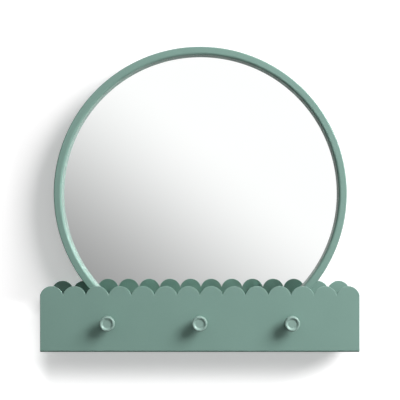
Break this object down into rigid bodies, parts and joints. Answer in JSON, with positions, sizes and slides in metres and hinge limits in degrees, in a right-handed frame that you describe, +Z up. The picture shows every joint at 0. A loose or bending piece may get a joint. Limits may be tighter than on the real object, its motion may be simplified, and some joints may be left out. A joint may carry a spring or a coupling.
{
  "type": "mirror with hooks",
  "caption": "Round mirror in a slim metal ring, standing in a scalloped sheet-steel wall tray that carries round knob hooks; hangs flat on a wall.",
  "frame": {"origin": "on the wall plane, midway between the seats of the tray's two wall screws, on the rear face of the tray's back panel", "axes": "+X to the right as seen from the front, +Y into the wall, +Z up; the front faces -Y"},
  "size_m": [0.42, 0.109, 0.411],
  "materials": {
    "sage_paint": "satin powder coat",
    "knob_paint": "satin powder coat",
    "mirror_glass": "polished silvered glass",
    "foam": "matt foam",
    "fibreboard": "raw fibreboard",
    "zinc_steel": "zinc plated",
    "bumper_rubber": "matt rubber"
  },
  "bodies": {
    "mirror_and_tray": {"backing_board": "fibreboard", "button_screw_lower_left": "zinc_steel", "button_screw_lower_right": "zinc_steel", "button_screw_upper_left": "zinc_steel", "button_screw_upper_right": "zinc_steel", "button_stop_lower_left": "sage_paint", "button_stop_lower_right": "sage_paint", "button_stop_upper_left": "sage_paint", "button_stop_upper_right": "sage_paint", "button_washer_lower_left": "zinc_steel", "button_washer_lower_right": "zinc_steel", "button_washer_upper_left": "zinc_steel", "button_washer_upper_right": "zinc_steel", "foam_sheet": "foam", "hanger_plate": "sage_paint", "hook_head_centre": "knob_paint", "hook_head_left": "knob_paint", "hook_head_right": "knob_paint", "hook_neck_centre": "knob_paint", "hook_neck_left": "knob_paint", "hook_neck_right": "knob_paint", "hook_screw_centre": "zinc_steel", "hook_screw_left": "zinc_steel", "hook_screw_right": "zinc_steel", "hook_washer_centre": "zinc_steel", "hook_washer_left": "zinc_steel", "hook_washer_right": "zinc_steel", "left_end_plate": "sage_paint", "left_ring_ear": "sage_paint", "mirror_glass": "mirror_glass", "right_end_plate": "sage_paint", "right_ring_ear": "sage_paint", "ring_band": "sage_paint", "ring_bezel": "sage_paint", "stud_nut_left": "zinc_steel", "stud_nut_right": "zinc_steel", "stud_washer_left": "zinc_steel", "stud_washer_right": "zinc_steel", "tray_shell": "sage_paint", "wall_bumper_left": "bumper_rubber", "wall_bumper_right": "bumper_rubber", "weld_stud_left": "zinc_steel", "weld_stud_right": "zinc_steel"},
    "button_upper_right": {"turn_button_upper_right": "zinc_steel"},
    "button_upper_left": {"turn_button_upper_left": "zinc_steel"},
    "button_lower_left": {"turn_button_lower_left": "zinc_steel"},
    "button_lower_right": {"turn_button_lower_right": "zinc_steel"}
  },
  "joints": [
    {"name": "turn_upper_right", "type": "hinge", "parent": "mirror_and_tray", "child": "button_upper_right", "pos_m": [0.12799, -0.0175, 0.28899], "axis": [0, 1, 0], "continuous": true},
    {"name": "turn_upper_left", "type": "hinge", "parent": "mirror_and_tray", "child": "button_upper_left", "pos_m": [-0.12799, -0.0175, 0.28899], "axis": [0, 1, 0], "continuous": true},
    {"name": "turn_lower_left", "type": "hinge", "parent": "mirror_and_tray", "child": "button_lower_left", "pos_m": [-0.12799, -0.0175, 0.03301], "axis": [0, 1, 0], "continuous": true},
    {"name": "turn_lower_right", "type": "hinge", "parent": "mirror_and_tray", "child": "button_lower_right", "pos_m": [0.12799, -0.0175, 0.03301], "axis": [0, 1, 0], "continuous": true}
  ]
}
